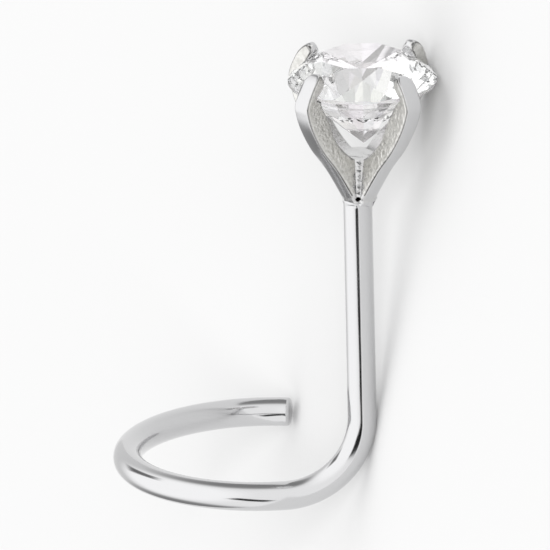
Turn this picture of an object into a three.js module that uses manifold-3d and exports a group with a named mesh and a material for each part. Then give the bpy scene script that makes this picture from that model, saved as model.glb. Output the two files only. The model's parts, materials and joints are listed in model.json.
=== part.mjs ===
// A nose stud of the screw kind: one soldered white-metal piece, a bent wire with a head of four claws,
// and the round brilliant stone that the claws hold. Sizes are in millimetres.
// It is drawn upright, with +Z up the post, the hook leaving towards -X and its loop lying towards +Y,
// and the finished group is then turned onto the side that the stud comes to rest on.
import * as THREE from "three";
import { ConvexGeometry } from "three/addons/geometries/ConvexGeometry.js";
import { ConvexHull } from "three/addons/math/ConvexHull.js";
import { mergeVertices } from "three/addons/utils/BufferGeometryUtils.js";
import Module from "manifold-3d";

const wasm = await Module();
wasm.setup();

// Wire: a straight post, a bend at its foot, then a hook that turns back round behind the post
const WIRE_DIAMETER = 0.585;
const GIRDLE_HEIGHT = 8.75; // from the hook's level at the post's axis up to the stone's girdle
const BEND_RADIUS = 1.6;
const HOOK_RADIUS = 2.8;
const HOOK_SWEEP = THREE.MathUtils.degToRad(199);
const HOOK_HEADING = THREE.MathUtils.degToRad(8); // how far the hook leaves the post towards -Y
const HOOK_DROP = THREE.MathUtils.degToRad(1.5); // how far its loop falls towards +Y
const WIRE_STEPS = 64;
const WIRE_SIDES = 16;

// Stone: a round brilliant, its heights measured from the middle of the girdle
const STONE_DIAMETER = 3.0;
const TABLE_SHARE = 0.57; // of the diameter
const CROWN_ANGLE = THREE.MathUtils.degToRad(35.5);
const PAVILION_ANGLE = THREE.MathUtils.degToRad(40.75);
const GIRDLE_THICKNESS = 0.09;
const STAR_SHARE = 0.5; // how far the star facets reach from the table to the girdle
const LOWER_HALF_SHARE = 0.77; // how far the lower half facets reach from the girdle to the culet
const MAIN_FACETS = 8;

// Head: four claws, their profiles turned about the head's own axis, heights from the girdle
const CLAW_WIDTH = 0.4;
const HEAD_OFFSET = 0.145; // the stone sits a little to +X of the post
const HEAD_LEAN = 0.043; // and the head leans over that far for each millimetre of its height
const SHOULDER_SHARE = 0.55; // where a claw's shoulder lies between its widest place and its tip
const TIP_ROUNDING = 0.07;
const TIP_DEPTH = 0.21; // how far a tip reaches back down to the crown
const SEAT_GAP = 0.03; // around the girdle, between the stone and its claws
const STUB_DIAMETER = 0.69; // the head's short stub, at its foot, where the wire is soldered to it
const STUB_TOP_DIAMETER = 0.87;
const STUB_TOP = -1.3; // inside the bowl, which cuts it off
const STUB_BOTTOM = -2.51;
const POST_TOP = -2.4; // where the wire ends inside the stub
const TURNED_STEPS = 48;
const PROFILE_STEPS = 24;
const ROUND_TOP_STEPS = 6;
// The claws as a setter left them: azimuth in degrees from +X, and where each tip ends on the crown
const CLAWS = [
  { azimuth: 46, tipRadius: 1.4, tipHeight: 0.51 },
  { azimuth: 141, tipRadius: 1.33, tipHeight: 0.57 },
  { azimuth: 225, tipRadius: 1.33, tipHeight: 0.44 },
  { azimuth: 306, tipRadius: 1.28, tipHeight: 0.43 },
];
const CLAW_OUTSIDE = [
  { radius: 0.31, height: -2.58 },
  { radius: 0.41, height: -2.38 },
  { radius: 0.82, height: -1.76 },
  { radius: 1.28, height: -1.2 },
  { radius: 1.58, height: -0.72 },
  { radius: 1.73, height: -0.36 },
  { radius: 1.76, height: -0.1 },
];
const CLAW_BOWL = [
  { radius: 0, height: -1.62 },
  { radius: 0.3, height: -1.58 },
  { radius: 0.58, height: -1.4 },
  { radius: 0.85, height: -1.09 },
  { radius: 1.09, height: -0.6 },
  { radius: 1.28, height: -0.28 },
  { radius: 1.39, height: -0.04 },
];

// Weights, in grams for each cubic millimetre, of 14 carat white gold and of cubic zirconia
const METAL_DENSITY = 0.013;
const STONE_DENSITY = 0.0058;

const MERGE_DISTANCE = 1e-5;

const WHITE_METAL = new THREE.MeshStandardMaterial({
  name: "white_metal",
  color: "#d9dadb",
  roughness: 0.12,
  metalness: 1,
});
const CLEAR_STONE = new THREE.MeshStandardMaterial({
  name: "clear_stone",
  color: "#f1f0f6",
  roughness: 0.03,
  metalness: 0,
});

// A closed geometry as a solid that can be joined and cut
function solidFrom(geometry) {
  const bare = new THREE.BufferGeometry();
  bare.setAttribute("position", geometry.getAttribute("position"));
  bare.setIndex(geometry.index);
  const merged = mergeVertices(bare, MERGE_DISTANCE);
  const corners = merged.index.array;
  const triangles = [];
  for (let i = 0; i < corners.length; i += 3) {
    const [a, b, c] = corners.subarray(i, i + 3);
    if (a !== b && b !== c && c !== a) {
      triangles.push(a, b, c);
    }
  }
  const mesh = new wasm.Mesh({
    numProp: 3,
    vertProperties: merged.getAttribute("position").array,
    triVerts: new Uint32Array(triangles),
  });
  return new wasm.Manifold(mesh);
}

function geometryFrom(solid) {
  const { vertProperties, triVerts } = solid.getMesh();
  const geometry = new THREE.BufferGeometry();
  geometry.setAttribute("position", new THREE.BufferAttribute(vertProperties, 3));
  geometry.setIndex(new THREE.BufferAttribute(triVerts, 1));
  geometry.computeVertexNormals();
  return geometry;
}

// The wire's centre line, by length from the post's top end to the hook's free end
class WirePath extends THREE.Curve {
  constructor() {
    super();
    this.postTop = GIRDLE_HEIGHT + POST_TOP;
    this.postRun = this.postTop - BEND_RADIUS;
    this.bendRun = (BEND_RADIUS * Math.PI) / 2;
    this.hookRun = HOOK_RADIUS * HOOK_SWEEP;
    this.heading = new THREE.Vector3(-Math.cos(HOOK_HEADING), -Math.sin(HOOK_HEADING), 0);
    this.inward = new THREE.Vector3(-Math.sin(HOOK_HEADING), Math.cos(HOOK_HEADING), 0);
  }

  getPoint(share, point = new THREE.Vector3()) {
    const along = share * (this.postRun + this.bendRun + this.hookRun);
    const pastPost = along - this.postRun;
    const pastBend = pastPost - this.bendRun;
    if (pastPost <= 0) {
      point.set(0, 0, this.postTop - along);
    } else if (pastBend <= 0) {
      const turn = pastPost / BEND_RADIUS;
      point.copy(this.heading).multiplyScalar(BEND_RADIUS * (1 - Math.cos(turn)));
      point.z = BEND_RADIUS * (1 - Math.sin(turn));
    } else {
      const turn = pastBend / HOOK_RADIUS;
      point.copy(this.heading).multiplyScalar(BEND_RADIUS + HOOK_RADIUS * Math.sin(turn));
      point.addScaledVector(this.inward, HOOK_RADIUS * (1 - Math.cos(turn)));
    }
    point.z -= point.y * Math.tan(HOOK_DROP);
    return point;
  }
}

function wireGeometry() {
  const section = new THREE.Shape().absarc(0, 0, WIRE_DIAMETER / 2, 0, 2 * Math.PI);
  return new THREE.ExtrudeGeometry(section, {
    steps: WIRE_STEPS,
    curveSegments: WIRE_SIDES / 2,
    extrudePath: new WirePath(),
  });
}

// A profile of radii and heights turned about the Z axis into a closed body
function turned(profile) {
  return new THREE.LatheGeometry(profile, TURNED_STEPS).rotateX(Math.PI / 2);
}

function smoothProfile(rows) {
  const points = rows.map(({ radius, height }) => new THREE.Vector2(radius, height));
  return new THREE.SplineCurve(points).getPoints(PROFILE_STEPS);
}

// A claw's outside from the post up over its shoulder to the tip, and back under the tip to the crown
function clawProfile({ tipRadius, tipHeight }) {
  const widest = CLAW_OUTSIDE.at(-1).radius;
  const underTip = tipRadius - TIP_ROUNDING;
  return smoothProfile([
    ...CLAW_OUTSIDE,
    { radius: THREE.MathUtils.lerp(tipRadius, widest, SHOULDER_SHARE), height: SHOULDER_SHARE * tipHeight },
    { radius: tipRadius, height: tipHeight },
    { radius: underTip, height: tipHeight - TIP_ROUNDING },
    { radius: underTip, height: tipHeight - TIP_DEPTH },
  ]);
}

// An upright slab from the head's axis outwards, round-topped, that one claw is cut from
function clawSlab({ azimuth, tipHeight }) {
  const half = CLAW_WIDTH / 2;
  const bottom = CLAW_OUTSIDE[0].height - CLAW_WIDTH;
  const outline = new THREE.Shape()
    .moveTo(-half, bottom)
    .lineTo(half, bottom)
    .lineTo(half, tipHeight - half)
    .absarc(0, tipHeight - half, half, 0, Math.PI);
  const reach = { depth: STONE_DIAMETER, bevelEnabled: false, curveSegments: ROUND_TOP_STEPS };
  return new THREE.ExtrudeGeometry(outline, reach)
    .translate(0, 0, -half)
    .rotateX(Math.PI / 2)
    .rotateZ(THREE.MathUtils.degToRad(azimuth + 90));
}

// The corners of the brilliant cut, in an eightfold loop, with the girdle a band of short flats
function stoneGeometry() {
  const girdleRadius = STONE_DIAMETER / 2;
  const tableRadius = girdleRadius * TABLE_SHARE;
  const step = Math.PI / MAIN_FACETS;
  const girdle = GIRDLE_THICKNESS / 2;
  const crownRise = Math.tan(CROWN_ANGLE);
  const pavilionRise = Math.tan(PAVILION_ANGLE);
  const table = girdle + (girdleRadius - tableRadius) * crownRise;
  const culet = -girdle - girdleRadius * pavilionRise;
  const starInner = tableRadius * Math.cos(step);
  const starRadius = starInner + STAR_SHARE * (girdleRadius - starInner);
  const starHeight = table - (starRadius * Math.cos(step) - tableRadius) * crownRise;
  const lowerRadius = girdleRadius * (1 - LOWER_HALF_SHARE);
  const lowerHeight = culet + lowerRadius * Math.cos(step) * pavilionRise;
  const corners = [new THREE.Vector3(0, 0, culet)];
  const addCorner = (radius, azimuth, height) => {
    corners.push(new THREE.Vector3(radius * Math.cos(azimuth), radius * Math.sin(azimuth), height));
  };
  for (let facet = 0; facet < MAIN_FACETS; facet += 1) {
    const main = (2 * facet + 1) * step;
    addCorner(tableRadius, main, table);
    addCorner(starRadius, main + step, starHeight);
    addCorner(lowerRadius, main + step, lowerHeight);
    for (const azimuth of [main, main + step]) {
      addCorner(girdleRadius, azimuth, girdle);
      addCorner(girdleRadius, azimuth, -girdle);
    }
  }
  return new ConvexGeometry(corners);
}

function stubGeometry() {
  const outline = [
    new THREE.Vector2(0, STUB_BOTTOM),
    new THREE.Vector2(STUB_DIAMETER / 2, STUB_BOTTOM),
    new THREE.Vector2(STUB_TOP_DIAMETER / 2, STUB_TOP),
    new THREE.Vector2(0, STUB_TOP),
  ];
  return turned(outline);
}

// The four claws and their stub as one head, still upright and without a seat for the stone
function headGeometry() {
  const foot = new THREE.Vector2(0, CLAW_OUTSIDE[0].height);
  const insideStone = new THREE.Vector2(0, 0);
  const claws = CLAWS.map((claw) =>
    solidFrom(turned([foot, ...clawProfile(claw), insideStone])).intersect(solidFrom(clawSlab(claw))),
  );
  const bowl = solidFrom(turned([...smoothProfile(CLAW_BOWL), insideStone]));
  const stub = solidFrom(stubGeometry());
  return geometryFrom(claws.reduce((joined, claw) => joined.add(claw), stub).subtract(bowl));
}

// The head leaned over and soldered to the wire as one piece, with a seat cut for the stone
function metalGeometry(stone) {
  const lean = new THREE.Matrix4().makeShear(0, 0, 0, 0, HEAD_LEAN, 0);
  const seatScale = 1 + (2 * SEAT_GAP) / STONE_DIAMETER;
  const head = solidFrom(headGeometry().applyMatrix4(lean));
  const seat = solidFrom(stone.clone().scale(seatScale, seatScale, seatScale));
  const placedHead = geometryFrom(head.subtract(seat)).translate(HEAD_OFFSET, 0, GIRDLE_HEIGHT);
  return geometryFrom(solidFrom(wireGeometry()).add(solidFrom(placedHead)));
}

// A closed geometry's volume and the middle of its weight
function volumeAndCentre(geometry) {
  const position = geometry.getAttribute("position");
  const index = geometry.index;
  const count = index ? index.count : position.count;
  const [a, b, c] = [new THREE.Vector3(), new THREE.Vector3(), new THREE.Vector3()];
  const cross = new THREE.Vector3();
  const centre = new THREE.Vector3();
  let volume = 0;
  for (let i = 0; i < count; i += 3) {
    [a, b, c].forEach((corner, k) => {
      corner.fromBufferAttribute(position, index ? index.getX(i + k) : i + k);
    });
    const part = a.dot(cross.crossVectors(b, c)) / 6;
    volume += part;
    centre.addScaledVector(a.add(b).add(c), part / 4);
  }
  return { volume, centre: centre.divideScalar(volume) };
}

// The side that the stud rests on: of the flats of its hull that have the centre of mass over them,
// the one that faces nearest to the wanted way. Returns the direction that is then down.
function restingSide(corners, centreOfMass, wanted) {
  const hull = new ConvexHull().setFromPoints(corners);
  const foot = new THREE.Vector3();
  const triangle = new THREE.Triangle();
  let best = null;
  for (const face of hull.faces) {
    const edge = face.edge;
    triangle.set(edge.tail().point, edge.head().point, edge.next.head().point);
    const depth = face.distanceToPoint(centreOfMass);
    foot.copy(centreOfMass).addScaledVector(face.normal, -depth);
    const facing = face.normal.dot(wanted);
    if (triangle.containsPoint(foot) && (!best || facing > best.dot(wanted))) {
      best = face.normal.clone();
    }
  }
  return best;
}

function cornersOf(geometry) {
  const position = geometry.getAttribute("position");
  const corners = [];
  for (let i = 0; i < position.count; i += 1) {
    corners.push(new THREE.Vector3().fromBufferAttribute(position, i));
  }
  return corners;
}

function namedPiece(name, geometry, material) {
  const piece = new THREE.Mesh(geometry, material);
  piece.name = name;
  return piece;
}

const stone = stoneGeometry();
const metal = metalGeometry(stone);
stone.translate(HEAD_OFFSET, 0, GIRDLE_HEIGHT);

const metalWeight = volumeAndCentre(metal);
const stoneWeight = volumeAndCentre(stone);
const metalGrams = metalWeight.volume * METAL_DENSITY;
const stoneGrams = stoneWeight.volume * STONE_DENSITY;
const centreOfMass = metalWeight.centre
  .clone()
  .multiplyScalar(metalGrams)
  .addScaledVector(stoneWeight.centre, stoneGrams)
  .divideScalar(metalGrams + stoneGrams);

// The stud lies on one claw and the outside of its bend, with the hook's free end propping it up
const wantedDown = new THREE.Vector3(1, 0, 0);
const down = restingSide([...cornersOf(metal), ...cornersOf(stone)], centreOfMass, wantedDown);
const up = down.clone().negate();
const post = new THREE.Vector3(0, 0, 1);
const forward = post.clone().addScaledVector(up, -post.dot(up)).normalize();
const aside = new THREE.Vector3().crossVectors(up, forward);

// Upright in its own group, which is turned so that the resting side is down and the post runs to +X
const upright = new THREE.Group();
upright.add(namedPiece("claw_post", metal, WHITE_METAL), namedPiece("stone", stone, CLEAR_STONE));
upright.quaternion.setFromRotationMatrix(new THREE.Matrix4().makeBasis(forward, aside, up).transpose());

// The origin is under the middle of the stud, on the surface that it lies on
const noseStud = new THREE.Group();
noseStud.add(upright);
const box = new THREE.Box3().setFromObject(noseStud, true);
const middle = box.getCenter(new THREE.Vector3());
upright.position.set(-middle.x, -middle.y, -box.min.z);

export default noseStud;
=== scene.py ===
# A nose stud of the screw kind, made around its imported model: one soldered piece of white metal, a bent wire
# with a head of four claws, and the round brilliant stone that the claws hold. Lengths are in metres.
import json
import math

import bmesh
import bpy
from bpy.props import FloatProperty, FloatVectorProperty, IntProperty, PointerProperty
from mathutils import Matrix, Vector, noise


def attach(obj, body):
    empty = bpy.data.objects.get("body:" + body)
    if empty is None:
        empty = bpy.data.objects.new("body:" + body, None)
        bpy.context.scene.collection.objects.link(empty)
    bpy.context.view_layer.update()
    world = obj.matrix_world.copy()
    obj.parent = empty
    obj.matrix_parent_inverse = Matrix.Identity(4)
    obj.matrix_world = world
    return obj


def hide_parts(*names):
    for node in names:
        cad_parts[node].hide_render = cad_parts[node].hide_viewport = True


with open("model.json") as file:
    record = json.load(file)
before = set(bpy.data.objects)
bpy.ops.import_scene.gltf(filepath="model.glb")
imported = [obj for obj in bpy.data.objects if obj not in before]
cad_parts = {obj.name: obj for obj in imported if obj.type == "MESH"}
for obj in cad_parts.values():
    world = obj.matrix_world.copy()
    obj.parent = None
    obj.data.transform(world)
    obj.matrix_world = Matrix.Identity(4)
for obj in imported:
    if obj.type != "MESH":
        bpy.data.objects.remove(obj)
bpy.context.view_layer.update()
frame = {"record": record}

bl_info = {
    "name": "Nose stud",
    "version": (1, 0, 0),
    "blender": (4, 5, 0),
    "location": "3D View > Sidebar > Nose stud",
    "description": "Makes a claw-set nose stud with a hooked wire post, and a stage to show it on",
    "category": "Add Mesh",
}

MM = 0.001
# How near two points are that become one, in the joined metal and in the stone, and how near a facet's cut is
# to a point that it goes through, in millimetres
WELD = 1e-4
STONE_WELD = 1e-3
STONE_CUT = 1e-6

# The photograph's frame: its side and scale, and the pixel where the post's axis meets the hook's level
PHOTO_SIDE = 550
PIXELS_PER_MM = 49.5
FOOT_PIXEL = (363.8, 490.5)

# The stations of one claw from its foot to its tip, in millimetres from the head's axis and from the girdle
CLAW_STATIONS = (
    # outer radius, outer height, inner radius, inner height
    (0.31, -2.58, 0.00, -1.74),
    (0.41, -2.38, 0.00, -1.62),
    (0.82, -1.76, 0.40, -1.52),
    (1.28, -1.20, 0.86, -1.08),
    (1.58, -0.72, 1.09, -0.60),
    (1.73, -0.36, 1.27, -0.30),
    (1.76, -0.10, 1.37, -0.08),
    (1.58, 0.28, 1.32, 0.12),
    (1.35, 0.50, 1.20, 0.34),
)
TIP_RADIUS, TIP_HEIGHT = CLAW_STATIONS[-1][:2]
# The share of a claw's size that its very tip keeps
TIP_END = 0.2
# The most that the rounding of a claw's long edges takes of its depth and of half its width
ROUNDING_OF_DEPTH = 0.48
ROUNDING_OF_HALF = 0.9

# How many steps each rounded corner of a claw, each of its stations, the stub with its seam, the wire and the
# rounding of the cut end are divided into
CORNER_STEPS = 6
STATION_STEPS = 10
SEAM_STEPS = 56
WIRE_STEPS = 240
RIM_STEPS = 8
# Where a flat side of a claw's section gets points between its ends, as shares of its length
SIDE_PARTS = (0.06, 0.3, 0.7, 0.94)
# How far down from the stub's top the fine steps reach, in lengths of the stub
FINE_REACH = 1.3

# How squarely a claw's face looks aside where polishing ends and where the casting's skin is whole
POLISH_ENDS = 0.3
SKIN_STARTS = 0.95
# How far outwards the faces of the bowl inside the claws look at most, how much skin they and the stub keep,
# and the mark given to the solder's pit, where the line of painted shade is darkest, so the pit is painted
# near-black
BOWL_FACING = 0.3
BOWL_SKIN = 0.25
PIT_PAINTED_SHADE = 0.6
# How much skin is marked where the thin near-black line of painted shade along the claws' rounded long edges
# starts, is darkest and ends
PAINTED_SHADE_LINE = (0.4, 0.6, 0.9)
# The range that noise seldom leaves, which is spread over a whole tone or roughness
NOISE_RANGE = (0.3, 0.7)

# How strong the painted fire is (the faint colour painted on each facet in place of the coloured flashes that
# dispersion splits out of white light), how fast it changes with the way a facet faces, where red, green and
# blue are taken, and how level a girdle face's normal is
PAINTED_FIRE = 0.12
PAINTED_FIRE_SPREAD = 5.3
PAINTED_FIRE_SHIFTS = (Vector((9, 2, 5)), Vector((3, 8, 1)), Vector((6, 4, 7)))
GIRDLE_SLOPE = 0.05

# The four claws as the setter left them: degrees round from +X, then where the tip ends, in millimetres
CLAWS = (
    # azimuth, tip radius, tip height
    (46, 1.40, 0.54),
    (141, 1.33, 0.58),
    (225, 1.33, 0.50),
    (306, 1.28, 0.45),
)

# Two plain dark flags round the stud, out of the picture, that its polished metal mirrors beside the soft
# light. Each reaches from one direction to another, in degrees round from the front and above the floor, and
# its fade is the share of it that its soft edges take.
FLAGS = (
    # name, from azimuth, from rise, to azimuth, to rise, degrees wide, brightness, fade
    ("front_flag", -25, 3, -13, 40, 15, 0.0, 0.4),
    ("back_flag", 128, 58, 182, 35, 20, 0.2, 0.6),
)

# How far back, aside and up a direction points where the soft light begins and ends to change from the
# front's strength to the back's, then to the sides' and then to the top's, and how far the weak sides lean
TO_BACK = (-0.5, 0.7)
TO_SIDES = (0.8, 1.05)
TO_TOP = (0.35, 0.8)
SIDES_LEAN = 0.4
# How often light may bounce in all, and on or through one kind of surface
ALL_BOUNCES = 24
KIND_BOUNCES = 16
# The camera's nearest and farthest sight, in distances from it to the stud
SIGHT = (0.01, 10)
PAPER_ROUGHNESS = 0.9


def linear(hex_colour):
    """An sRGB hex colour as linear red, green and blue with full alpha."""
    channels = [int(hex_colour[i : i + 2], 16) / 255 for i in (1, 3, 5)]
    return [c / 12.92 if c <= 0.04045 else ((c + 0.055) / 1.055) ** 2.4 for c in channels] + [1.0]


BLACK, WHITE = linear("#000000"), linear("#ffffff")


def number(name, description, value):
    return FloatProperty(name=name, description=description, default=value)


def length(name, description, millimetres):
    metres = millimetres * MM
    return FloatProperty(name=name, description=description, default=metres, unit="LENGTH", precision=6)


def angle(name, description, degrees):
    return FloatProperty(name=name, description=description, default=math.radians(degrees), subtype="ANGLE")


def share(name, description, value):
    return FloatProperty(
        name=name, description=description, default=value, subtype="FACTOR", min=0.0, max=1.0
    )


def colour(name, description, hex_colour):
    tone = linear(hex_colour)
    return FloatVectorProperty(
        name=name, description=description, default=tone, size=4, subtype="COLOR", min=0.0, max=1.0
    )


class WireSizes(bpy.types.PropertyGroup):
    diameter: length("Diameter", "Thickness of the round wire", 0.585)
    girdle_height: length("Girdle height", "From the hook's level up the post to the stone's girdle", 8.75)
    bend_radius: length("Bend radius", "Radius of the bend at the post's foot, on the wire's axis", 1.6)
    hook_radius: length("Hook radius", "Radius of the hook, on the wire's axis", 2.8)
    hook_sweep: angle("Hook sweep", "How far round the hook turns", 199)
    hook_heading: angle("Hook heading", "How far the hook leaves the post towards the front", 8)
    hook_drop: angle("Hook drop", "How far the hook's loop falls towards its back", 1.5)
    rim_rounding: length("Rim rounding", "Rounding of the hook's cut end", 0.07)
    stub_diameter: length("Stub diameter", "Thickness of the head's stub at its foot", 0.69)
    stub_top_diameter: length("Stub top diameter", "Thickness of the head's stub at its top", 0.84)
    stub_top: length("Stub top", "From the girdle down to the stub's top", 1.56)
    seam_depth: length("Seam depth", "From the girdle down to the solder seam", 2.5)
    seam_rounding: length("Seam rounding", "Half the height over which the stub narrows to the wire", 0.04)
    seam_bead: length("Seam bead", "How far the solder stands proud, at most", 0.05)
    seam_reach: length("Seam reach", "How far the solder spreads up and down", 0.07)
    seam_grain: length("Seam grain", "How far apart the solder's lumps are", 0.08)
    stub_lumps: length("Stub lumps", "How uneven the casting left the stub", 0.0035)
    pit_azimuth: angle("Pit azimuth", "Where the pit in the solder is, round from +X", 264)
    pit_depth: length("Pit depth", "Depth of the pit in the solder", 0.1)
    pit_radius: length("Pit radius", "Radius of the pit in the solder", 0.04)
    section_points: IntProperty(name="Section points", description="Points round the wire", default=64)


class HeadSizes(bpy.types.PropertyGroup):
    claw_width: length("Claw width", "Width of a claw across its outer face", 0.4)
    edge_rounding: length("Edge rounding", "Rounding of the claws' long edges", 0.06)
    offset: length("Offset", "How far the girdle's middle lies beside the post's axis", 0.145)
    lean: number("Lean", "How far the head leans over for each unit of height", 0.043)
    seat_gap: length("Seat gap", "Space between the stone and its seat in the claws", 0.03)
    tip_length: length("Tip length", "Over how much of its end a claw narrows", 0.36)
    tip_rounding: length("Tip rounding", "Over how much of its end a claw thins", 0.12)
    tip_starts: share("Tip starts", "How far up a claw its tip begins to be pushed over", 0.68)
    sharp_angle: angle("Sharp angle", "Edges that turn more than this stay sharp", 32)


class StoneSizes(bpy.types.PropertyGroup):
    diameter: length("Diameter", "Across the girdle", 3.0)
    table_share: share("Table", "The table's share of the diameter", 0.57)
    crown_angle: angle("Crown angle", "Slope of the crown's main facets", 35.5)
    pavilion_angle: angle("Pavilion angle", "Slope of the pavilion's main facets", 40.75)
    girdle_thickness: length("Girdle thickness", "Height of the girdle where two main facets meet it", 0.09)
    star_share: share("Star share", "How far the star facets reach from the table to the girdle", 0.5)
    lower_half_share: share("Lower halves", "How far the lower halves reach towards the culet", 0.77)
    main_facets: IntProperty(name="Main facets", description="Main facets round the stone", default=8)
    girdle_points: IntProperty(name="Girdle points", description="Points round the girdle", default=96)
    girdle_roughness: share("Girdle roughness", "Roughness of the ground girdle", 0.4)
    ior: number("IOR", "How strongly the stone bends light", 2.16)


class MetalFinish(bpy.types.PropertyGroup):
    polished_tone: colour("Polished tone", "Colour of the polished metal", "#cfcfd0")
    dark_skin: colour("Dark skin", "The darker tone of the casting's skin", "#c4c3bf")
    pale_skin: colour("Pale skin", "The paler tone of the casting's skin", "#dfdedb")
    # The near-black painted shade on the claws' rounded long edges and in the solder's pit
    painted_shade_tone: colour("Painted shade tone", "Colour of the painted shade along the claws' rounded edges", "#1c1b1a")
    best_polish: share("Best polish", "Roughness where the polish is at its best", 0.08)
    worst_polish: share("Worst polish", "Roughness where drawing lines dull the polish", 0.14)
    skin_roughness: share("Skin roughness", "Roughness of the casting's skin", 0.3)
    line_spacing: length("Line spacing", "From one drawing line to the next", 0.05)
    line_length: length("Line length", "How long a drawing line runs", 1.5)
    line_depth: length("Line depth", "Depth of the drawing lines", 0.0004)
    wave_length: length("Wave length", "From one wave of the hand polishing to the next", 0.625)
    wave_depth: length("Wave depth", "Depth of the hand polishing's waves", 0.003)
    patch_width: length("Patch width", "Width of the patches in the casting's skin", 0.0833)
    patch_depth: length("Patch depth", "Depth of the patches in the casting's skin", 0.015)
    grain_width: length("Grain width", "Width of the grains in the casting's skin", 0.0714)
    grain_depth: length("Grain depth", "Depth of the grains in the casting's skin", 0.02)


class StageSettings(bpy.types.PropertyGroup):
    view_rise: angle("View rise", "How far the view is raised above the hook's plane", 19)
    view_roll: angle("View roll", "How far the stud is turned in the picture", 1.27)
    lens: number("Lens", "Focal length of the long lens, in millimetres", 1500)
    floor_side: length("Floor side", "Side of the square floor", 1600)
    floor_colour: colour("Floor colour", "Colour of the matt floor", "#cccccc")
    top_light: number("Top light", "Strength of the soft light above", 1.42)
    front_light: number("Front light", "Strength of the soft light in front", 1.2)
    back_light: number("Back light", "Strength of the soft light behind", 0.82)
    side_light: number("Side light", "Strength of the soft light at the sides", 0.3)
    softbox_strength: number("Softbox strength", "Strength of the softbox", 4.0)
    softbox_angle: angle("Softbox angle", "How wide the softbox on the line of sight looks", 30)
    flag_distance: length("Flag distance", "How far the dark flags stand from the stud", 60)
    flag_height: length("Flag height", "Height that the dark flags face", 1.5)


def add_node(tree, kind, links=None, **settings):
    """Adds a node, sets its own settings, and links or sets its inputs. A node that is given as a source
    stands for its first output."""
    node = tree.nodes.new(kind)
    for name, value in settings.items():
        setattr(node, name, value)
    for socket, source in (links or {}).items():
        if isinstance(source, bpy.types.Node):
            source = source.outputs[0]
        if isinstance(source, bpy.types.NodeSocket):
            tree.links.new(source, node.inputs[socket])
        else:
            node.inputs[socket].default_value = source
    return node


def new_material(name):
    """A material with its node tree and its shader."""
    material = bpy.data.materials.new(name)
    material.use_nodes = True
    return material, material.node_tree, material.node_tree.nodes["Principled BSDF"]


def new_geometry_tree(name, inputs):
    """A geometry tree with the named inputs after its geometry, and its input node."""
    tree = bpy.data.node_groups.new(name, "GeometryNodeTree")
    tree.interface.new_socket("Geometry", in_out="INPUT", socket_type="NodeSocketGeometry")
    for label, kind in inputs:
        tree.interface.new_socket(label, in_out="INPUT", socket_type=kind)
    tree.interface.new_socket("Geometry", in_out="OUTPUT", socket_type="NodeSocketGeometry")
    return tree, add_node(tree, "NodeGroupInput").outputs


def close_geometry_tree(tree, geometry, material):
    """Ends a geometry tree: smooth shading, real geometry and its material."""
    smooth = add_node(tree, "GeometryNodeSetShadeSmooth", {"Geometry": geometry})
    real = add_node(tree, "GeometryNodeRealizeInstances", {"Geometry": smooth})
    painted = add_node(tree, "GeometryNodeSetMaterial", {"Geometry": real, "Material": material})
    add_node(tree, "NodeGroupOutput", {"Geometry": painted})


def new_object(name, mesh):
    piece = bpy.data.objects.new(name, mesh)
    bpy.context.scene.collection.objects.link(piece)
    return piece


def remove_object(piece):
    mesh = piece.data
    bpy.data.objects.remove(piece)
    bpy.data.meshes.remove(mesh)


def baked_mesh(piece):
    """The piece's mesh as its modifiers leave it."""
    evaluated = piece.evaluated_get(bpy.context.evaluated_depsgraph_get())
    return bpy.data.meshes.new_from_object(evaluated)


def run_tree(mesh, tree, values):
    """Runs a geometry tree on a mesh, with its inputs set by name, and returns what it makes."""
    host = new_object("host", mesh)
    modifier = host.modifiers.new(tree.name, "NODES")
    modifier.node_group = tree
    for item in tree.interface.items_tree:
        if item.in_out == "INPUT" and item.name in values:
            modifier[item.identifier] = values[item.name]
    made = baked_mesh(host)
    remove_object(host)
    return made


def smooth_rows(rows, steps):
    """Points on a smooth curve through the rows, a few steps from each row to the next."""
    ends = [2 * Vector(rows[0]) - Vector(rows[1]), 2 * Vector(rows[-1]) - Vector(rows[-2])]
    line = [ends[0], *map(Vector, rows), ends[1]]
    points = []
    for a, b, c, d in zip(line, line[1:], line[2:], line[3:]):
        for step in range(steps):
            t = step / steps
            straight = 2 * b + (c - a) * t
            bent = (2 * a - 5 * b + 4 * c - d) * t**2 + (3 * b - a - 3 * c + d) * t**3
            points.append((straight + bent) / 2)
    return points + [Vector(rows[-1])]


def head_axis(wire, head, height):
    """How far the head's leaning axis lies beside the post's axis at a height above the hook's level."""
    return head.offset + head.lean * (height - wire.girdle_height)


def wire_path(wire, head):
    """The wire's centre line, upright: the head's stub, the post, the bend, the hook and its free end."""
    top = wire.girdle_height - wire.stub_top
    post = top - wire.bend_radius
    bend = wire.bend_radius * math.pi / 2
    hook = wire.hook_radius * wire.hook_sweep
    stub = wire.seam_depth - wire.stub_top
    heading = Vector((-math.cos(wire.hook_heading), -math.sin(wire.hook_heading), 0))
    inward = Vector((-math.sin(wire.hook_heading), math.cos(wire.hook_heading), 0))

    def place(along):
        past_post = along - post
        past_bend = past_post - bend
        if past_post <= 0:
            height = top - along
            beside = head_axis(wire, head, height) if along <= stub else 0.0
            point = Vector((beside, 0, height))
        elif past_bend <= 0:
            turn = past_post / wire.bend_radius
            point = heading * wire.bend_radius * (1 - math.cos(turn))
            point.z = wire.bend_radius * (1 - math.sin(turn))
        else:
            turn = past_bend / wire.hook_radius
            point = heading * (wire.bend_radius + wire.hook_radius * math.sin(turn))
            point += inward * wire.hook_radius * (1 - math.cos(turn))
        point.z -= point.y * math.tan(wire.hook_drop)
        return point

    whole = post + bend + hook
    fine = FINE_REACH * stub
    to_rim = whole - wire.rim_rounding
    lengths = [fine * i / SEAM_STEPS for i in range(SEAM_STEPS)]
    lengths += [fine + (to_rim - fine) * i / WIRE_STEPS for i in range(WIRE_STEPS)]
    for i in range(RIM_STEPS + 1):
        lengths.append(to_rim + wire.rim_rounding * math.sin(math.pi / 2 * i / RIM_STEPS))
    return [place(along) for along in lengths]


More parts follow.
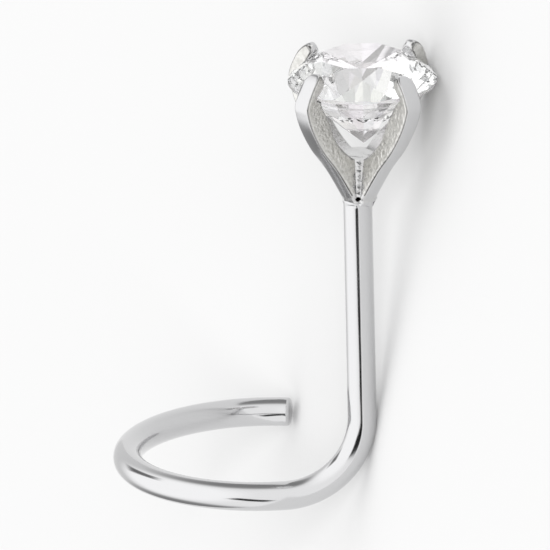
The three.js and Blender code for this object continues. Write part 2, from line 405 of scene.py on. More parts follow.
def wire_tree():
    """Sweeps a round section along a path, wider at the stub and rounded at the cut end, and keeps each
    point's place along the path and round the section for the drawing lines."""
    tree, given = new_geometry_tree(
        "Round wire along a path",
        (
            ("Wire Radius", "NodeSocketFloat"),
            ("Stub Radius", "NodeSocketFloat"),
            ("Stub Top Radius", "NodeSocketFloat"),
            ("Stub Length", "NodeSocketFloat"),
            ("Seam Rounding", "NodeSocketFloat"),
            ("Rim Rounding", "NodeSocketFloat"),
            ("Section Points", "NodeSocketInt"),
            ("Material", "NodeSocketMaterial"),
        ),
    )
    path = add_node(tree, "GeometryNodeMeshToCurve", {"Mesh": given["Geometry"]})
    along = add_node(tree, "GeometryNodeSplineParameter").outputs["Length"]
    marked = add_node(
        tree, "GeometryNodeStoreNamedAttribute", {"Geometry": path, "Name": "along", "Value": along}
    )
    whole = add_node(tree, "GeometryNodeSplineLength")
    to_end = add_node(tree, "ShaderNodeMath", {0: whole, 1: along}, operation="SUBTRACT")
    inside = add_node(tree, "ShaderNodeMath", {0: given["Rim Rounding"], 1: to_end}, operation="SUBTRACT")
    past_rim = add_node(tree, "ShaderNodeMath", {0: inside, 1: 0.0}, operation="MAXIMUM")
    rim_square = add_node(
        tree, "ShaderNodeMath", {0: given["Rim Rounding"], 1: given["Rim Rounding"]}, operation="MULTIPLY"
    )
    past_square = add_node(tree, "ShaderNodeMath", {0: past_rim, 1: past_rim}, operation="MULTIPLY")
    left = add_node(tree, "ShaderNodeMath", {0: rim_square, 1: past_square}, operation="SUBTRACT")
    rounding = add_node(tree, "ShaderNodeMath", {0: left}, operation="SQRT")
    taper = add_node(
        tree,
        "ShaderNodeMapRange",
        {
            "Value": along,
            "From Min": 0.0,
            "From Max": given["Stub Length"],
            "To Min": given["Stub Top Radius"],
            "To Max": given["Stub Radius"],
        },
    )
    seam_start, seam_end = [
        add_node(tree, "ShaderNodeMath", {0: given["Stub Length"], 1: given["Seam Rounding"]}, operation=way)
        for way in ("SUBTRACT", "ADD")
    ]
    body = add_node(
        tree,
        "ShaderNodeMapRange",
        {
            "Value": along,
            "From Min": seam_start,
            "From Max": seam_end,
            "To Min": taper,
            "To Max": given["Wire Radius"],
        },
        interpolation_type="SMOOTHSTEP",
    )
    core = add_node(tree, "ShaderNodeMath", {0: body, 1: given["Rim Rounding"]}, operation="SUBTRACT")
    radius = add_node(tree, "ShaderNodeMath", {0: core, 1: rounding}, operation="ADD")
    circle = add_node(
        tree, "GeometryNodeCurvePrimitiveCircle", {"Resolution": given["Section Points"], "Radius": 1.0}
    )
    place = add_node(tree, "GeometryNodeInputPosition")
    section = add_node(
        tree,
        "GeometryNodeStoreNamedAttribute",
        {"Geometry": circle, "Name": "ring", "Value": place},
        data_type="FLOAT_VECTOR",
    )
    swept = add_node(
        tree,
        "GeometryNodeCurveToMesh",
        {"Curve": marked, "Profile Curve": section, "Scale": radius, "Fill Caps": True},
    )
    close_geometry_tree(tree, swept, given["Material"])
    return tree


def wire_mesh(wire, head, metal):
    """The bent wire with its stub, as a swept mesh."""
    path = wire_path(wire, head)
    edges = [(i, i + 1) for i in range(len(path) - 1)]
    mesh = bpy.data.meshes.new("wire path")
    mesh.from_pydata(path, edges, [])
    sizes = {
        "Wire Radius": wire.diameter / 2,
        "Stub Radius": wire.stub_diameter / 2,
        "Stub Top Radius": wire.stub_top_diameter / 2,
        "Stub Length": wire.seam_depth - wire.stub_top,
        "Seam Rounding": wire.seam_rounding,
        "Rim Rounding": wire.rim_rounding,
        "Section Points": wire.section_points,
        "Material": metal,
    }
    return run_tree(mesh, wire_tree(), sizes)


def claw_section(depth, half, rounding):
    """A claw's section as pairs of sideways and inward places: a rectangle with rounded corners."""
    r = min(rounding, ROUNDING_OF_DEPTH * depth, ROUNDING_OF_HALF * half)
    wide, deep = half - r, depth - r
    corners = ((wide, r), (wide, deep), (-wide, deep), (-wide, r))
    points = []
    for corner, (sideways, inward) in enumerate(corners):
        for step in range(CORNER_STEPS + 1):
            a = math.radians(90 * (corner - 1 + step / CORNER_STEPS))
            points.append((sideways + r * math.cos(a), inward + r * math.sin(a)))
    padded = []
    for i, (here, there) in enumerate(zip(points, points[1:] + points[:1])):
        padded.append(here)
        if i % (CORNER_STEPS + 1) == CORNER_STEPS:
            for part in SIDE_PARTS:
                padded.append(tuple(a + (b - a) * part for a, b in zip(here, there)))
    return padded


def rounded(left, reach):
    """The share of a claw's size that is left this far from its tip, so that the tip ends round."""
    past = max(0.0, 1 - left / reach)
    return max(TIP_END, math.sqrt(1 - past**2))


def claw_mesh(head):
    """One claw standing towards +X from the head's axis, with how far up each point is as its climb."""
    stations = smooth_rows([[value * MM for value in row] for row in CLAW_STATIONS], STATION_STEPS)
    outside = [Vector(row[:2]) for row in stations]
    to_tip = [0.0]
    for here, above in zip(outside[-2::-1], outside[::-1]):
        to_tip.insert(0, to_tip[0] + (above - here).length)
    half = head.claw_width / 2
    points, climbs = [], []
    for number, (row, left) in enumerate(zip(stations, to_tip)):
        outer, inner = Vector(row[:2]), Vector(row[2:])
        middle = (outer + inner) / 2
        thin = rounded(left, head.tip_rounding)
        outer, inner = middle.lerp(outer, thin), middle.lerp(inner, thin)
        depth = (outer - inner).length
        width = half * rounded(left, head.tip_length)
        for sideways, inward in claw_section(depth, width, head.edge_rounding):
            way_in = inward / depth
            place = outer.lerp(inner, way_in)
            crown = outer.x - math.sqrt(max(outer.x**2 - sideways**2, 0.0))
            points.append((place.x - crown * (1 - way_in), sideways, place.y))
            climbs.append(number / (len(stations) - 1))
    ring = len(points) // len(stations)
    faces = []
    for row in range(len(stations) - 1):
        for i in range(ring):
            j = (i + 1) % ring
            faces.append((row * ring + i, row * ring + j, (row + 1) * ring + j, (row + 1) * ring + i))
    faces.append(tuple(range(ring)))
    faces.append(tuple(range(len(points) - ring, len(points))))
    mesh = bpy.data.meshes.new("claw")
    mesh.from_pydata(points, [], faces)
    mesh.attributes.new("climb", "FLOAT", "POINT").data.foreach_set("value", climbs)
    face_outwards(mesh)
    return mesh


def face_outwards(mesh):
    shape = bmesh.new()
    shape.from_mesh(mesh)
    bmesh.ops.recalc_face_normals(shape, faces=shape.faces)
    shape.to_mesh(mesh)
    shape.free()


def weld(mesh):
    """Merges points that all but meet, and drops the slivers between them."""
    shape = bmesh.new()
    shape.from_mesh(mesh)
    bmesh.ops.remove_doubles(shape, verts=shape.verts, dist=WELD * MM)
    bmesh.ops.dissolve_degenerate(shape, edges=shape.edges, dist=WELD * MM)
    shape.to_mesh(mesh)
    shape.free()


def claws_tree():
    """Stands a claw at each point, moves its tip where the point says, and leans the whole head over."""
    tree, given = new_geometry_tree(
        "Claws round a head",
        (
            ("Claw", "NodeSocketObject"),
            ("Tip Starts", "NodeSocketFloat"),
            ("Lean", "NodeSocketFloat"),
            ("Offset", "NodeSocketFloat"),
            ("Girdle Height", "NodeSocketFloat"),
            ("Material", "NodeSocketMaterial"),
        ),
    )
    azimuth, climb, tip_out, tip_up = [
        add_node(tree, "GeometryNodeInputNamedAttribute", {"Name": name})
        for name in ("azimuth", "climb", "tip_out", "tip_up")
    ]
    euler = add_node(tree, "ShaderNodeCombineXYZ", {"Z": azimuth})
    turn = add_node(tree, "FunctionNodeEulerToRotation", {"Euler": euler})
    claw = add_node(tree, "GeometryNodeObjectInfo", {"Object": given["Claw"]}).outputs["Geometry"]
    placed = add_node(
        tree,
        "GeometryNodeInstanceOnPoints",
        {"Points": given["Geometry"], "Instance": claw, "Rotation": turn},
    )
    real = add_node(tree, "GeometryNodeRealizeInstances", {"Geometry": placed})
    tip = add_node(
        tree,
        "ShaderNodeMapRange",
        {"Value": climb, "From Min": given["Tip Starts"], "From Max": 1.0},
        interpolation_type="SMOOTHSTEP",
    )
    out, rise = [
        add_node(tree, "ShaderNodeMath", {0: tip, 1: reach}, operation="MULTIPLY")
        for reach in (tip_out, tip_up)
    ]
    offset = add_node(tree, "ShaderNodeCombineXYZ", {"X": out, "Z": rise})
    turned = add_node(
        tree, "ShaderNodeVectorRotate", {"Vector": offset, "Angle": azimuth}, rotation_type="Z_AXIS"
    )
    set_tips = add_node(tree, "GeometryNodeSetPosition", {"Geometry": real, "Offset": turned})
    here = add_node(tree, "GeometryNodeInputPosition")
    height = add_node(tree, "ShaderNodeSeparateXYZ", {"Vector": here}).outputs["Z"]
    beside = add_node(
        tree, "ShaderNodeMath", {0: height, 1: given["Lean"], 2: given["Offset"]}, operation="MULTIPLY_ADD"
    )
    shift = add_node(tree, "ShaderNodeCombineXYZ", {"X": beside, "Z": given["Girdle Height"]})
    leaned = add_node(tree, "GeometryNodeSetPosition", {"Geometry": set_tips, "Offset": shift})
    close_geometry_tree(tree, leaned, given["Material"])
    return tree


def claws_mesh(wire, head, metal):
    """The four claws, upright and in their places on the post."""
    mesh = bpy.data.meshes.new("claw places")
    mesh.from_pydata([(0, 0, 0)] * len(CLAWS), [], [])
    columns = {
        "azimuth": [math.radians(azimuth) for azimuth, _, _ in CLAWS],
        "tip_out": [(radius - TIP_RADIUS) * MM for _, radius, _ in CLAWS],
        "tip_up": [(height - TIP_HEIGHT) * MM for _, _, height in CLAWS],
    }
    for name, values in columns.items():
        mesh.attributes.new(name, "FLOAT", "POINT").data.foreach_set("value", values)
    claw = new_object("claw", claw_mesh(head))
    sizes = {
        "Claw": claw,
        "Tip Starts": head.tip_starts,
        "Lean": head.lean,
        "Offset": head.offset,
        "Girdle Height": wire.girdle_height,
        "Material": metal,
    }
    made = run_tree(mesh, claws_tree(), sizes)
    remove_object(claw)
    return made


def plane_through(a, b, c):
    """A point and a normal that faces away from the stone's middle."""
    normal = (b - a).cross(c - a).normalized()
    return (a, normal) if normal.dot(a) > 0 else (a, -normal)


def stone_planes(stone):
    """The planes of a round brilliant's facets, each as a point and an outward normal."""
    radius = stone.diameter / 2
    table_radius = radius * stone.table_share
    step = math.pi / stone.main_facets
    girdle = stone.girdle_thickness / 2
    crown_rise = math.tan(stone.crown_angle)
    pavilion_rise = math.tan(stone.pavilion_angle)
    table = girdle + (radius - table_radius) * crown_rise
    culet = -girdle - radius * pavilion_rise
    star_inner = table_radius * math.cos(step)
    star_radius = star_inner + stone.star_share * (radius - star_inner)
    star_height = table - (star_radius * math.cos(step) - table_radius) * crown_rise
    lower_radius = radius * (1 - stone.lower_half_share)
    lower_height = culet + lower_radius * math.cos(step) * pavilion_rise

    def corner(distance, azimuth, height):
        return Vector((distance * math.cos(azimuth), distance * math.sin(azimuth), height))

    planes = [(Vector((0, 0, table)), Vector((0, 0, 1)))]
    point = Vector((0, 0, culet))
    for facet in range(stone.main_facets):
        main = (2 * facet + 1) * step
        top, next_top = corner(table_radius, main, table), corner(table_radius, main + 2 * step, table)
        stars = [corner(star_radius, main + side, star_height) for side in (-step, step)]
        lowers = [corner(lower_radius, main + side, lower_height) for side in (-step, step)]
        planes.append(plane_through(top, *stars))
        planes.append(plane_through(top, next_top, stars[1]))
        planes.append(plane_through(point, *lowers))
        for side, star, lower in zip((-step, step), stars, lowers):
            above = [corner(radius, azimuth, girdle) for azimuth in (main, main + side)]
            below = [corner(radius, azimuth, -girdle) for azimuth in (main, main + side)]
            planes.append(plane_through(star, *above))
            planes.append(plane_through(lower, *below))
    return planes


def stone_mesh(stone, grown=0.0):
    """The stone cut facet by facet from a round blank, its girdle's middle at the origin, and grown to cut a
    seat with a gap round it."""
    shape = bmesh.new()
    bmesh.ops.create_cone(
        shape,
        cap_ends=True,
        segments=stone.girdle_points,
        radius1=stone.diameter / 2,
        radius2=stone.diameter / 2,
        depth=2 * stone.diameter,
    )
    for point, normal in stone_planes(stone):
        everything = shape.verts[:] + shape.edges[:] + shape.faces[:]
        cut = bmesh.ops.bisect_plane(
            shape, geom=everything, dist=STONE_CUT * MM, plane_co=point, plane_no=normal, clear_outer=True
        )
        rim = [edge for edge in cut["geom_cut"] if isinstance(edge, bmesh.types.BMEdge)]
        bmesh.ops.holes_fill(shape, edges=rim)
    bmesh.ops.remove_doubles(shape, verts=shape.verts, dist=STONE_WELD * MM)
    bmesh.ops.dissolve_degenerate(shape, edges=shape.edges, dist=STONE_WELD * MM)
    bmesh.ops.recalc_face_normals(shape, faces=shape.faces)
    bmesh.ops.scale(shape, verts=shape.verts, vec=[1 + 2 * grown / stone.diameter] * 3)
    mesh = bpy.data.meshes.new("stone")
    shape.to_mesh(mesh)
    shape.free()
    return mesh


def resting_place(wire, head, stone):
    """The turn and shift from the upright stud to the one at rest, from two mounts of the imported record."""
    mounts = {mount["name"]: mount for mount in frame["record"]["mounts"]}
    table_height = stone_planes(stone)[0][0].z
    upright_table = Vector((head.offset, 0, wire.girdle_height + table_height))
    upright_tail = wire_path(wire, head)[-1]
    table, tail = [Vector(mounts[name]["pos_m"]) for name in ("table", "tail_end")]

    def axes(up, towards):
        aside = (towards - up * towards.dot(up)).normalized()
        return Matrix((aside, up.cross(aside), up)).transposed()

    upright = axes(Vector((0, 0, 1)), upright_tail - upright_table)
    resting = axes(Vector(mounts["table"]["axis"]).normalized(), tail - table)
    turn = (resting @ upright.transposed()).to_4x4()
    return Matrix.Translation(table) @ turn @ Matrix.Translation(-upright_table)


def pit_place(wire, head):
    """The middle of the small pit in the upright stud's solder."""
    seam = wire.girdle_height - wire.seam_depth
    around = Vector((math.cos(wire.pit_azimuth), math.sin(wire.pit_azimuth), 0))
    return Vector((head_axis(wire, head, seam), 0, seam + wire.seam_reach)) + around * wire.stub_diameter / 2


def roughen_seam(mesh, wire, head):
    """Leaves the upright stud's solder lumpy round the seam, with one small pit, and the cast stub uneven."""
    seam = wire.girdle_height - wire.seam_depth
    stub_top = wire.girdle_height - wire.stub_top
    pit = pit_place(wire, head)
    for vertex in mesh.vertices:
        point = vertex.co
        away = (point.z - seam) / wire.seam_reach
        beside = head_axis(wire, head, point.z)
        outward = Vector((point.x - beside, point.y, 0)).normalized()
        bead = wire.seam_bead * noise.noise(point / wire.seam_grain) * math.exp(-(away**2))
        sunk = wire.pit_depth * math.exp(-(((point - pit).length / wire.pit_radius) ** 2))
        lump = 0.0
        if seam < point.z < stub_top and math.hypot(point.x - beside, point.y) < wire.stub_top_diameter / 2:
            lump = wire.stub_lumps * noise.noise(point / wire.seam_grain)
        vertex.co = point + outward * (bead + lump - sunk)


def mark_skin_and_painted_shade(mesh, wire, head):
    """Marks how much of the casting's skin each face keeps: all on the claws' sides, where polishing doesn't
    reach, a little inside the bowl and on the stub, and none on the claws' outsides and on the wire. The same
    mark places painted shade: a near-black line where it passes its middle values, along the claws' rounded
    long edges, and in the solder's pit, which gets the darkest value."""
    stub_top = wire.girdle_height - wire.stub_top
    seam = wire.girdle_height - wire.seam_depth
    pit = pit_place(wire, head)
    azimuths = [math.radians(azimuth) for azimuth, _, _ in CLAWS]
    marks = []
    for face in mesh.polygons:
        middle = face.center
        beside = middle.x - head_axis(wire, head, middle.z)
        around = math.atan2(middle.y, beside)
        nearest = max(azimuths, key=lambda azimuth: math.cos(azimuth - around))
        outward = Vector((math.cos(nearest), math.sin(nearest), 0))
        aside = abs(face.normal.dot(Vector((-outward.y, outward.x, 0))))
        mark = min(max((aside - POLISH_ENDS) / (SKIN_STARTS - POLISH_ENDS), 0.0), 1.0)
        if middle.z < wire.girdle_height and face.normal.dot(outward) < BOWL_FACING:
            mark = max(mark, BOWL_SKIN)
        if middle.z < stub_top and math.hypot(beside, middle.y) < wire.stub_top_diameter / 2:
            mark = BOWL_SKIN
        if middle.z < seam:
            mark = 0.0
        # The pit gets the mark where the painted shade is darkest, so the recess is painted near-black as
        # painted shade
        if (middle - pit).length < wire.pit_radius:
            mark = PIT_PAINTED_SHADE
        marks.append(mark)
    mesh.attributes.new("skin_and_painted_shade", "FLOAT", "FACE").data.foreach_set("value", marks)


def white_metal(wire, finish):
    """White gold, drawn or cast and then polished: a bright neutral mirror with faint drawing lines along the
    wire and a slow waviness from hand polishing. On the claws' sides and inside the bowl the casting's grainy
    skin is left, which turns the mirror into a soft warm grey. A thin near-black line of painted shade is
    painted along the claws' rounded long edges and in the solder's pit."""
    material, tree, shader = new_material("polished white gold")
    where = add_node(tree, "ShaderNodeTexCoord").outputs["Object"]
    # The skin mark also places the painted shade: the near-black line on the claws' rounded edges and in the
    # pit
    skin = add_node(tree, "ShaderNodeAttribute", attribute_name="skin_and_painted_shade").outputs["Fac"]
    ring = add_node(tree, "ShaderNodeAttribute", attribute_name="ring").outputs["Vector"]
    along = add_node(tree, "ShaderNodeAttribute", attribute_name="along").outputs["Fac"]

    # Drawing lines as fine as the real ones would be lost between the pixels, so they are drawn coarser
    lengthwise = add_node(tree, "ShaderNodeCombineXYZ", {"Z": along})
    unrolled = add_node(
        tree,
        "ShaderNodeVectorMath",
        {0: ring, 1: [wire.diameter / 2] * 3, 2: lengthwise},
        operation="MULTIPLY_ADD",
    )
    across = 1 / finish.line_spacing
    stretched = add_node(
        tree,
        "ShaderNodeMapping",
        {"Vector": unrolled, "Scale": (across, across, 1 / finish.line_length)},
    )
    lines = add_node(tree, "ShaderNodeTexNoise", {"Vector": stretched, "Scale": 1.0, "Detail": 2.0})
    waves, patches, grain = [
        add_node(tree, "ShaderNodeTexNoise", {"Vector": where, "Scale": 1 / size, "Detail": detail})
        for size, detail in ((finish.wave_length, 0.0), (finish.patch_width, 3.0), (finish.grain_width, 2.0))
    ]

    low, high = NOISE_RANGE
    pale = add_node(tree, "ShaderNodeMapRange", {"Value": patches, "From Min": low, "From Max": high})
    cast_tone = add_node(
        tree,
        "ShaderNodeMix",
        {"Factor": pale, "A": finish.dark_skin, "B": finish.pale_skin},
        data_type="RGBA",
    ).outputs["Result"]
    clean_tone = add_node(
        tree,
        "ShaderNodeMix",
        {"Factor": skin, "A": finish.polished_tone, "B": cast_tone},
        data_type="RGBA",
    ).outputs["Result"]
    # Painted shade: a thin near-black line painted where a polished face turns into the casting's skin, along
    # the claws' rounded long edges, and over the solder's pit
    line = add_node(tree, "ShaderNodeValToRGB", {"Fac": skin})
    starts, darkest, ends = PAINTED_SHADE_LINE
    for stop, place in zip(line.color_ramp.elements, (starts, ends)):
        stop.position = place
        stop.color = BLACK
    line.color_ramp.elements.new(darkest).color = WHITE
    tone = add_node(
        tree,
        "ShaderNodeMix",
        {"Factor": line, "A": clean_tone, "B": finish.painted_shade_tone},
        data_type="RGBA",
    )
    mirror = add_node(
        tree,
        "ShaderNodeMapRange",
        {
            "Value": lines,
            "From Min": low,
            "From Max": high,
            "To Min": finish.best_polish,
            "To Max": finish.worst_polish,
        },
    )
    roughness = add_node(
        tree, "ShaderNodeMapRange", {"Value": skin, "To Min": mirror, "To Max": finish.skin_roughness}
    )
    under = {}
    for height, depth, strength in (
        (waves, finish.wave_depth, 1.0),
        (lines, finish.line_depth, 1.0),
        (patches, finish.patch_depth, skin),
        (grain, finish.grain_depth, skin),
    ):
        links = {"Height": height, "Distance": depth, "Strength": strength, **under}
        bumpy = add_node(tree, "ShaderNodeBump", links)
        under = {"Normal": bumpy}
    shader.inputs["Metallic"].default_value = 1.0
    tree.links.new(tone.outputs["Result"], shader.inputs["Base Color"])
    tree.links.new(roughness.outputs["Result"], shader.inputs["Roughness"])
    tree.links.new(bumpy.outputs["Normal"], shader.inputs["Normal"])
    return material


def mark_facets(mesh):
    """Paints each facet a faint colour of its own as painted fire, standing in for the coloured flashes that
    dispersion splits out of white light, and marks the round girdle as left frosted.
    """
    fire_tints, frosted = [], []
    for face in mesh.polygons:
        places = [face.normal * PAINTED_FIRE_SPREAD + shift for shift in PAINTED_FIRE_SHIFTS]
        fire_tints += [1 - PAINTED_FIRE * abs(noise.noise(place)) for place in places] + [1.0]
        frosted.append(1.0 if abs(face.normal.z) < GIRDLE_SLOPE else 0.0)
    mesh.attributes.new("painted_fire_tint", "FLOAT_COLOR", "FACE").data.foreach_set("color", fire_tints)
    mesh.attributes.new("frosted", "FLOAT", "FACE").data.foreach_set("value", frosted)


def clear_stone(stone):
    """Cubic zirconia, cut and polished: clear flat facets that bend light strongly, each painted with a faint
    colour of its own as painted fire in place of the coloured flashes of dispersion, round a ground girdle
    that stays frosted and pale."""
    material, tree, shader = new_material("faceted cubic zirconia")
    painted_fire = add_node(tree, "ShaderNodeAttribute", attribute_name="painted_fire_tint").outputs["Color"]
    frosted = add_node(tree, "ShaderNodeAttribute", attribute_name="frosted").outputs["Fac"]
    roughness = add_node(
        tree, "ShaderNodeMapRange", {"Value": frosted, "To Min": 0.0, "To Max": stone.girdle_roughness}
    )
    shader.inputs["Transmission Weight"].default_value = 1.0
    shader.inputs["IOR"].default_value = stone.ior
    # Painted fire: the faint colour painted on each facet stands in for the flashes of dispersion
    tree.links.new(painted_fire, shader.inputs["Base Color"])
    tree.links.new(roughness.outputs["Result"], shader.inputs["Roughness"])
    return material


class NOSESTUD_OT_make_metal(bpy.types.Operator):
    """Makes the soldered metal: the bent wire, its stub and the four claws with a seat for the stone"""

    bl_idname = "nosestud.make_metal"
    bl_label = "Make the metal"

    def execute(self, context):
        scene = context.scene
        wire, head, stone = scene.stud_wire, scene.stud_head, scene.stud_stone
        metal = white_metal(wire, scene.stud_finish)
        piece = new_object("soldered_metal", wire_mesh(wire, head, metal))
        claws = new_object("claws", claws_mesh(wire, head, metal))
        seat_mesh = stone_mesh(stone, head.seat_gap)
        seat_mesh.transform(Matrix.Translation((head.offset, 0, wire.girdle_height)))
        seat = new_object("seat", seat_mesh)
        # The solids are joined in millimetres, because the solver's tolerance is coarse on so small a part
        for solid in (piece, claws, seat):
            solid.data.transform(Matrix.Scale(1 / MM, 4))
        for operation, other in (("UNION", claws), ("DIFFERENCE", seat)):
            join = piece.modifiers.new(other.name, "BOOLEAN")
            join.operation = operation
            join.object = other
            join.solver = "EXACT"
            join.use_self = True
        joined = baked_mesh(piece)
        joined.transform(Matrix.Scale(MM, 4))
        weld(joined)
        piece.modifiers.clear()
        piece.data = joined
        for other in (claws, seat):
            remove_object(other)
        mark_skin_and_painted_shade(joined, wire, head)
        roughen_seam(joined, wire, head)
        joined.set_sharp_from_angle(angle=head.sharp_angle)
        joined.transform(resting_place(wire, head, stone))
        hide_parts("claw_post")
        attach(piece, "root")
        return {"FINISHED"}


class NOSESTUD_OT_make_stone(bpy.types.Operator):
    """Makes the round brilliant stone"""

    bl_idname = "nosestud.make_stone"
    bl_label = "Make the stone"

    def execute(self, context):
        scene = context.scene
        wire, head, stone = scene.stud_wire, scene.stud_head, scene.stud_stone
        mesh = stone_mesh(stone)
        mark_facets(mesh)
        mesh.materials.append(clear_stone(stone))
        mesh.transform(Matrix.Translation((head.offset, 0, wire.girdle_height)))
        mesh.transform(resting_place(wire, head, stone))
        piece = new_object("brilliant_stone", mesh)
        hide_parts("stone")
        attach(piece, "root")
        return {"FINISHED"}


def direction(azimuth, rise):
    """The way to look, in degrees round from the front towards +X and in degrees above the floor."""
    round_way, up_way = math.radians(azimuth), math.radians(rise)
    level = math.cos(up_way)
    return Vector((math.sin(round_way) * level, -math.cos(round_way) * level, math.sin(up_way)))


class NOSESTUD_OT_make_stage(bpy.types.Operator):
    """Makes the floor, the dark flags, the light and the camera"""

    bl_idname = "nosestud.make_stage"
    bl_label = "Make the stage"

    def execute(self, context):
        scene = context.scene
        stage = scene.stud_stage
        rest = resting_place(scene.stud_wire, scene.stud_head, scene.stud_stone)
        self.make_floor(stage)
        self.make_flags(stage)
        self.make_light(scene, stage)
        self.make_camera(scene, stage, rest)
        return {"FINISHED"}

    def make_sheet(self, name, corners, material):
        mesh = bpy.data.meshes.new(name)
        mesh.from_pydata(corners, [], [(0, 1, 2, 3)])
        mesh.uv_layers.new().data.foreach_set("uv", (0, 0, 1, 0, 1, 1, 0, 1))
        mesh.materials.append(material)
        sheet = new_object(name, mesh)
        return sheet

    def make_floor(self, stage):
        half = stage.floor_side / 2
        material, _, shader = new_material("matt paper")
        shader.inputs["Base Color"].default_value = stage.floor_colour
        shader.inputs["Roughness"].default_value = PAPER_ROUGHNESS
        shader.inputs["Specular IOR Level"].default_value = 0.0
        corners = [(-half, -half, 0), (half, -half, 0), (half, half, 0), (-half, half, 0)]
        self.make_sheet("floor", corners, material)

    def make_flag(self, name, corners, brightness, fade):
        """A neutral sheet of one brightness that fades out to its edges, mirrored by the stud but unseen."""
        material, tree, shader = new_material(name)
        place = add_node(tree, "ShaderNodeTexCoord").outputs["UV"]
        from_middle = add_node(
            tree, "ShaderNodeVectorMath", {0: place, 1: (2, 2, 0), 2: (-1, -1, 0)}, operation="MULTIPLY_ADD"
        )
        outwards = add_node(tree, "ShaderNodeVectorMath", {0: from_middle}, operation="ABSOLUTE")
        parts = add_node(tree, "ShaderNodeSeparateXYZ", {"Vector": outwards}).outputs
        to_edge = add_node(tree, "ShaderNodeMath", {0: parts["X"], 1: parts["Y"]}, operation="MAXIMUM")
        cover = add_node(
            tree,
            "ShaderNodeMapRange",
            {"Value": to_edge, "From Min": 1 - fade, "From Max": 1.0, "To Min": 1.0, "To Max": 0.0},
            interpolation_type="SMOOTHSTEP",
        )
        tree.links.new(cover.outputs["Result"], shader.inputs["Alpha"])
        shader.inputs["Base Color"].default_value = BLACK
        shader.inputs["Specular IOR Level"].default_value = 0.0
        shader.inputs["Emission Color"].default_value = WHITE
        shader.inputs["Emission Strength"].default_value = brightness
        flag = self.make_sheet(name, corners, material)
        flag.visible_camera = False
        flag.visible_diffuse = False
        flag.visible_shadow = False

    def make_flags(self, stage):
        middle = Vector((0, 0, stage.flag_height))
        away = stage.flag_distance
        for name, azimuth, rise, to_azimuth, to_rise, wide, brightness, fade in FLAGS:
            start = direction(azimuth, rise) * away
            stop = direction(to_azimuth, to_rise) * away
            half = away * math.tan(math.radians(wide / 2))
            aside = (stop - start).cross(start + stop).normalized() * half
            corners = [start - aside, stop - aside, stop + aside, start + aside]
            self.make_flag(name, [middle + corner for corner in corners], brightness, fade)

    def make_light(self, scene, stage):
        """Soft light all round: strongest from above, weaker from the back than from the front, and weakest
        at the sides."""
        world = bpy.data.worlds.new("soft studio light")
        world.use_nodes = True
        tree = world.node_tree
        background = tree.nodes["Background"]
        background.inputs["Color"].default_value = WHITE
        towards = add_node(tree, "ShaderNodeTexCoord").outputs["Generated"]
        parts = add_node(tree, "ShaderNodeSeparateXYZ", {"Vector": towards}).outputs
        level = add_node(
            tree,
            "ShaderNodeMapRange",
            {
                "Value": parts["Y"],
                "From Min": TO_BACK[0],
                "From Max": TO_BACK[1],
                "To Min": stage.front_light,
                "To Max": stage.back_light,
            },
        )
        aside = add_node(tree, "ShaderNodeMath", {0: parts["X"]}, operation="ABSOLUTE")
        beside = add_node(
            tree, "ShaderNodeMath", {0: parts["Y"], 1: SIDES_LEAN, 2: aside}, operation="MULTIPLY_ADD"
        )
        for value, reach, strength in (
            (beside, TO_SIDES, stage.side_light),
            (parts["Z"], TO_TOP, stage.top_light),
        ):
            level = add_node(
                tree,
                "ShaderNodeMapRange",
                {
                    "Value": value,
                    "From Min": reach[0],
                    "From Max": reach[1],
                    "To Min": level,
                    "To Max": strength,
                },
                interpolation_type="SMOOTHSTEP",
            )
        tree.links.new(level.outputs["Result"], background.inputs["Strength"])
        scene.world = world
        scene.view_settings.view_transform = "Standard"
        # Light must be able to bounce about inside the stone before it comes out
        scene.cycles.max_bounces = ALL_BOUNCES
        scene.cycles.glossy_bounces = KIND_BOUNCES
        scene.cycles.transmission_bounces = KIND_BOUNCES

    def make_camera(self, scene, stage, rest):
        rise, roll = stage.view_rise, stage.view_roll
        turn = rest.to_3x3()
        back = turn @ Vector((0, -math.cos(rise), math.sin(rise)))
        across = turn @ Vector((1, 0, 0))
        upwards = turn @ Vector((0, math.sin(rise), math.cos(rise)))
        right = across * math.cos(roll) - upwards * math.sin(roll)
        top = across * math.sin(roll) + upwards * math.cos(roll)
        pixel = MM / PIXELS_PER_MM
        middle = rest.translation
        middle = middle + right * (PHOTO_SIDE / 2 - FOOT_PIXEL[0]) * pixel
        middle = middle + top * (FOOT_PIXEL[1] - PHOTO_SIDE / 2) * pixel
        data = bpy.data.cameras.new("camera")
        data.lens = stage.lens
        distance = PHOTO_SIDE * pixel * data.lens / data.sensor_width
        data.clip_start, data.clip_end = [distance * reach for reach in SIGHT]
        camera = bpy.data.objects.new("camera", data)
        turned = Matrix((right, top, back)).transposed().to_4x4()
        camera.matrix_world = Matrix.Translation(middle + back * distance) @ turned
        scene.collection.objects.link(camera)
        scene.camera = camera
        # A distant softbox on the line of sight keeps the floor's shadow faint. The stud doesn't mirror it.
        lamp = bpy.data.lights.new("softbox", "SUN")
        lamp.energy = stage.softbox_strength
        lamp.angle = stage.softbox_angle
        softbox = bpy.data.objects.new("softbox", lamp)
        softbox.matrix_world = camera.matrix_world
        softbox.visible_glossy = False
        softbox.visible_transmission = False
        scene.collection.objects.link(softbox)


class NOSESTUD_PT_panel(bpy.types.Panel):
    """Lists the steps and their sizes"""

    bl_idname = "NOSESTUD_PT_panel"
    bl_label = "Nose stud"
    bl_space_type = "VIEW_3D"
    bl_region_type = "UI"
    bl_category = "Nose stud"

    def draw(self, context):
        for step in STEPS:
            self.layout.operator(step.bl_idname)
        for name, sizes in SETTINGS.items():
            column = self.layout.column(align=True)
            for field in sizes.__annotations__:
                column.prop(getattr(context.scene, name), field)


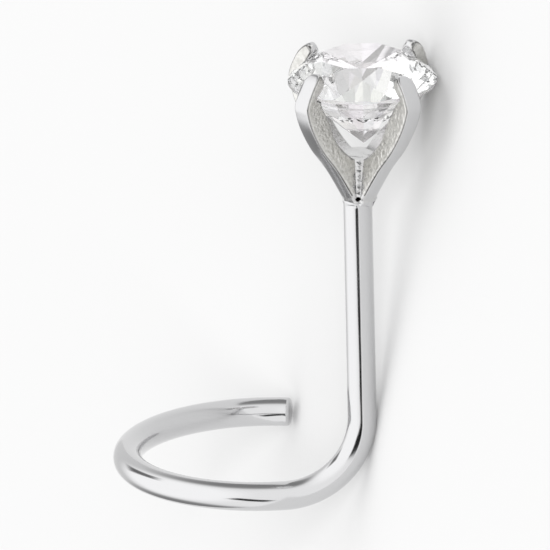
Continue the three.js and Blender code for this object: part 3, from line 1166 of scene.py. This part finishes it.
SETTINGS = {
    "stud_wire": WireSizes,
    "stud_head": HeadSizes,
    "stud_stone": StoneSizes,
    "stud_finish": MetalFinish,
    "stud_stage": StageSettings,
}
STEPS = (NOSESTUD_OT_make_metal, NOSESTUD_OT_make_stone, NOSESTUD_OT_make_stage)


def register():
    for kind in (*SETTINGS.values(), *STEPS, NOSESTUD_PT_panel):
        bpy.utils.register_class(kind)
    for name, sizes in SETTINGS.items():
        setattr(bpy.types.Scene, name, PointerProperty(type=sizes))


def unregister():
    for name in SETTINGS:
        delattr(bpy.types.Scene, name)
    for kind in (NOSESTUD_PT_panel, *reversed(STEPS), *reversed(SETTINGS.values())):
        bpy.utils.unregister_class(kind)


def main():
    register()
    bpy.ops.nosestud.make_metal()
    bpy.ops.nosestud.make_stone()
    bpy.ops.nosestud.make_stage()
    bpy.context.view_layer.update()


if __name__ == "__main__":
    main()
